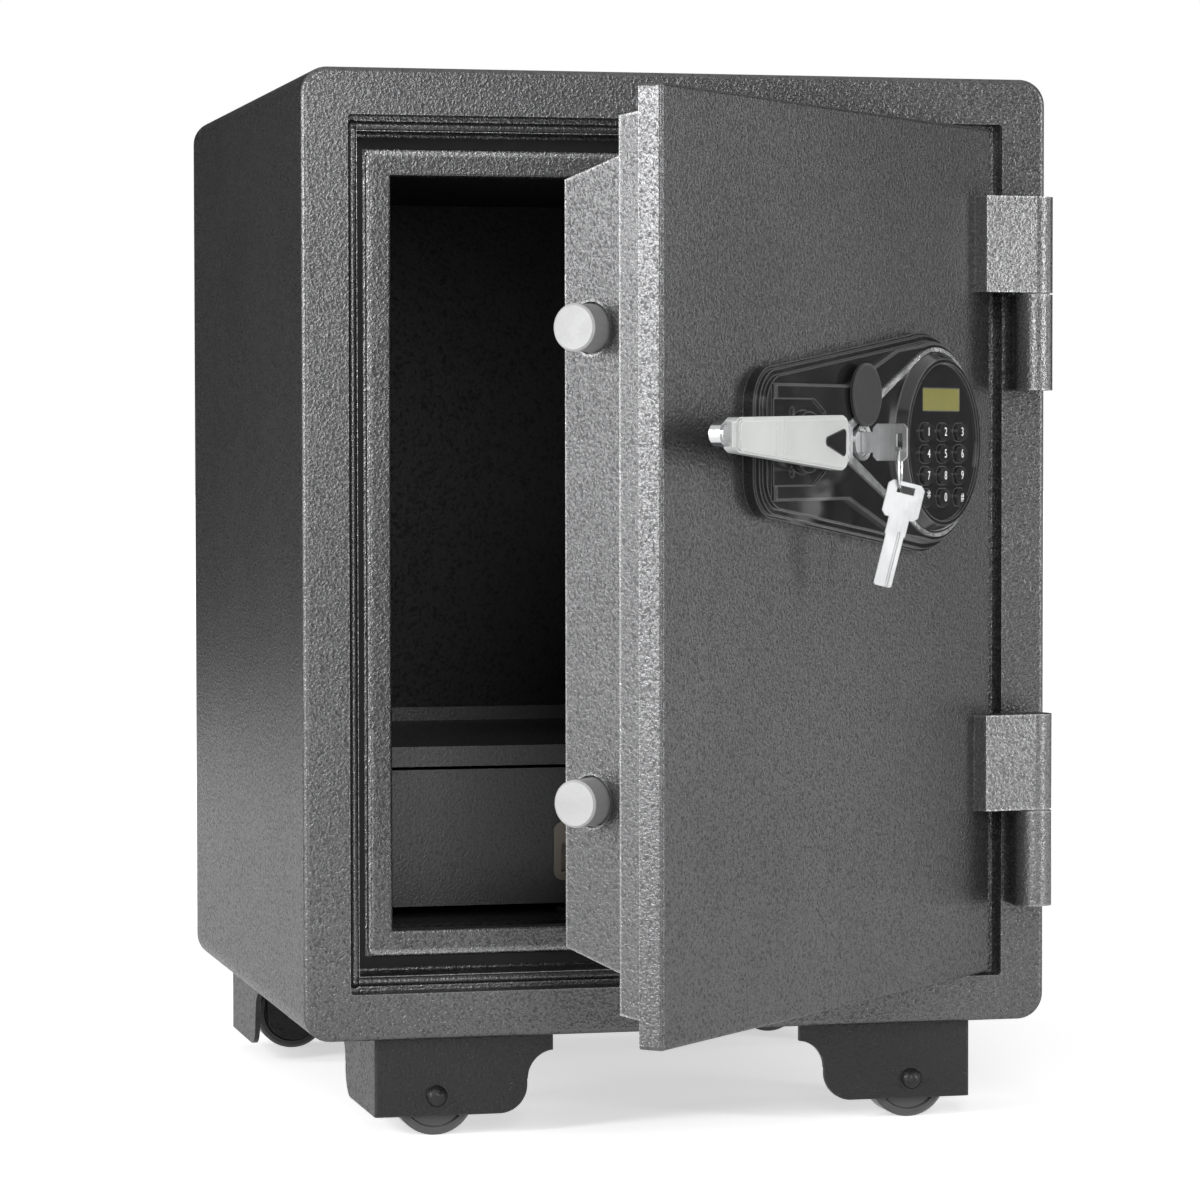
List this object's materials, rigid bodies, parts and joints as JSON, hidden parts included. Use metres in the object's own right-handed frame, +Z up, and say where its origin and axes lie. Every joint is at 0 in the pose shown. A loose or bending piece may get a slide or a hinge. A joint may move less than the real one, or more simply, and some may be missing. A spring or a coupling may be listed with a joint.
{
  "type": "fireproof safe",
  "caption": "Upright steel fireproof safe on castors with a stepped hinged door, keypad lock, lever, sliding bolts, key, shelf and drawer.",
  "frame": {"origin": "on the floor under the middle of the cabinet", "axes": "+X to the right seen from the front, +Y to the back (the door faces -Y), +Z up"},
  "size_m": [0.406, 0.6838, 0.561],
  "materials": {
    "hammered_paint": "satin",
    "frame_paint": "satin",
    "castor_paint": "satin",
    "inside_paint": "satin",
    "drawer_paint": "satin",
    "fire_filling": "matte",
    "seal": "matte",
    "steel": "satin",
    "chrome": "polished",
    "silver_plate": "satin",
    "panel_plastic": "gloss",
    "button_rubber": "satin",
    "display": "gloss",
    "pull_plastic": "satin",
    "wheel_plastic": "satin",
    "box_plastic": "matte"
  },
  "bodies": {
    "cabinet": {"outer_shell": "hammered_paint", "back_panel": "hammered_paint", "body_fill": "fire_filling", "rebate_frame": "frame_paint", "fire_seal": "seal", "inner_liner": "inside_paint", "shelf": "drawer_paint", "drawer_runners": "drawer_paint", "anchor_cover": "drawer_paint", "hinge_base_upper": "hammered_paint", "hinge_base_lower": "hammered_paint", "hinge_pin_upper": "steel", "hinge_pin_lower": "steel", "caster_front_left": "castor_paint", "caster_front_right": "castor_paint", "caster_rear_left": "castor_paint", "caster_rear_right": "castor_paint"},
    "drawer": {"drawer_box": "drawer_paint", "drawer_front": "drawer_paint", "drawer_pull": "pull_plastic"},
    "door": {"door_plate": "hammered_paint", "door_step": "frame_paint", "door_plug": "frame_paint", "door_fill": "fire_filling", "hinge_leaf_upper": "hammered_paint", "hinge_leaf_lower": "hammered_paint", "lock_chassis": "steel", "lock_case": "steel", "battery_box": "box_plastic", "panel_base": "panel_plastic", "panel_island": "panel_plastic", "bright_trim": "chrome", "display_window": "display"},
    "bolt_work": {"bolt_bar": "steel", "bolt_upper": "chrome", "bolt_lower": "chrome"},
    "handle": {"lever": "silver_plate", "lever_inlay": "panel_plastic", "spindle": "steel"},
    "key_lock": {"lock_plug": "chrome", "key_in_lock": "silver_plate"},
    "cover": {"key_cover": "panel_plastic"},
    "ring": {"key_ring": "chrome"},
    "second_key": {"spare_key": "silver_plate"},
    "roller_front_left": {"wheel_front_left": "wheel_plastic"},
    "roller_front_right": {"wheel_front_right": "wheel_plastic"},
    "roller_rear_left": {"wheel_rear_left": "wheel_plastic"},
    "roller_rear_right": {"wheel_rear_right": "wheel_plastic"},
    "button_1": {"key_1": "button_rubber"},
    "button_2": {"key_2": "button_rubber"},
    "button_3": {"key_3": "button_rubber"},
    "button_4": {"key_4": "button_rubber"},
    "button_5": {"key_5": "button_rubber"},
    "button_6": {"key_6": "button_rubber"},
    "button_7": {"key_7": "button_rubber"},
    "button_8": {"key_8": "button_rubber"},
    "button_9": {"key_9": "button_rubber"},
    "button_star": {"key_star": "button_rubber"},
    "button_0": {"key_0": "button_rubber"},
    "button_hash": {"key_hash": "button_rubber"}
  },
  "joints": [
    {"name": "door_hinge", "type": "hinge", "parent": "cabinet", "child": "door", "pos_m": [0.1893, -0.2163, 0.307], "axis": [0, 0, 1], "range_deg": [-46, 134]},
    {"name": "handle_turn", "type": "hinge", "parent": "door", "child": "handle", "pos_m": [0.0012, -0.3833, 0.3658], "axis": [0.7193, -0.6947, 0], "range_deg": [0, 60]},
    {"name": "bolt_slide", "type": "slide", "parent": "door", "child": "bolt_work", "axis": [0.6947, 0.7193, 0], "range_m": [0, 0.01885]},
    {"name": "drawer_slide", "type": "slide", "parent": "cabinet", "child": "drawer", "axis": [0, -1, 0], "range_m": [0, 0.1]},
    {"name": "key_turn", "type": "hinge", "parent": "door", "child": "key_lock", "pos_m": [0.04357, -0.33942, 0.3658], "axis": [0.7193, -0.6947, 0], "range_deg": [0, 90]},
    {"name": "cover_swing", "type": "hinge", "parent": "door", "child": "cover", "pos_m": [0.04357, -0.33942, 0.3776], "axis": [0.7193, -0.6947, 0], "range_deg": [-50, 50]},
    {"name": "ring_swing", "type": "hinge", "parent": "key_lock", "child": "ring", "pos_m": [0.06868, -0.36367, 0.3626], "axis": [-0.3746, -0.9272, 0], "range_deg": [-5, 60]},
    {"name": "second_key_swing", "type": "hinge", "parent": "ring", "child": "second_key", "pos_m": [0.06868, -0.36367, 0.3434], "axis": [-0.3746, -0.9272, 0], "range_deg": [-3, 30]},
    {"name": "press_1", "type": "slide", "parent": "door", "child": "button_1", "axis": [-0.7193, 0.6947, 0], "range_m": [0, 0.001], "stiffness_N_per_m": 1500, "springref_m": -0.0002},
    {"name": "press_2", "type": "slide", "parent": "door", "child": "button_2", "axis": [-0.7193, 0.6947, 0], "range_m": [0, 0.001], "stiffness_N_per_m": 1500, "springref_m": -0.0002},
    {"name": "press_3", "type": "slide", "parent": "door", "child": "button_3", "axis": [-0.7193, 0.6947, 0], "range_m": [0, 0.001], "stiffness_N_per_m": 1500, "springref_m": -0.0002},
    {"name": "press_4", "type": "slide", "parent": "door", "child": "button_4", "axis": [-0.7193, 0.6947, 0], "range_m": [0, 0.001], "stiffness_N_per_m": 1500, "springref_m": -0.0002},
    {"name": "press_5", "type": "slide", "parent": "door", "child": "button_5", "axis": [-0.7193, 0.6947, 0], "range_m": [0, 0.001], "stiffness_N_per_m": 1500, "springref_m": -0.0002},
    {"name": "press_6", "type": "slide", "parent": "door", "child": "button_6", "axis": [-0.7193, 0.6947, 0], "range_m": [0, 0.001], "stiffness_N_per_m": 1500, "springref_m": -0.0002},
    {"name": "press_7", "type": "slide", "parent": "door", "child": "button_7", "axis": [-0.7193, 0.6947, 0], "range_m": [0, 0.001], "stiffness_N_per_m": 1500, "springref_m": -0.0002},
    {"name": "press_8", "type": "slide", "parent": "door", "child": "button_8", "axis": [-0.7193, 0.6947, 0], "range_m": [0, 0.001], "stiffness_N_per_m": 1500, "springref_m": -0.0002},
    {"name": "press_9", "type": "slide", "parent": "door", "child": "button_9", "axis": [-0.7193, 0.6947, 0], "range_m": [0, 0.001], "stiffness_N_per_m": 1500, "springref_m": -0.0002},
    {"name": "press_star", "type": "slide", "parent": "door", "child": "button_star", "axis": [-0.7193, 0.6947, 0], "range_m": [0, 0.001], "stiffness_N_per_m": 1500, "springref_m": -0.0002},
    {"name": "press_0", "type": "slide", "parent": "door", "child": "button_0", "axis": [-0.7193, 0.6947, 0], "range_m": [0, 0.001], "stiffness_N_per_m": 1500, "springref_m": -0.0002},
    {"name": "press_hash", "type": "slide", "parent": "door", "child": "button_hash", "axis": [-0.7193, 0.6947, 0], "range_m": [0, 0.001], "stiffness_N_per_m": 1500, "springref_m": -0.0002},
    {"name": "roll_front_left", "type": "hinge", "parent": "cabinet", "child": "roller_front_left", "pos_m": [-0.131, -0.173, 0.0215], "axis": [0, 1, 0], "continuous": true},
    {"name": "roll_front_right", "type": "hinge", "parent": "cabinet", "child": "roller_front_right", "pos_m": [0.131, -0.173, 0.0215], "axis": [0, 1, 0], "continuous": true},
    {"name": "roll_rear_left", "type": "hinge", "parent": "cabinet", "child": "roller_rear_left", "pos_m": [-0.15, 0.173, 0.0215], "axis": [0, 1, 0], "continuous": true},
    {"name": "roll_rear_right", "type": "hinge", "parent": "cabinet", "child": "roller_rear_right", "pos_m": [0.15, 0.173, 0.0215], "axis": [0, 1, 0], "continuous": true}
  ],
  "couplings": [
    {"joint": "bolt_slide", "follows": "handle_turn", "m_per_rad": 0.018}
  ]
}
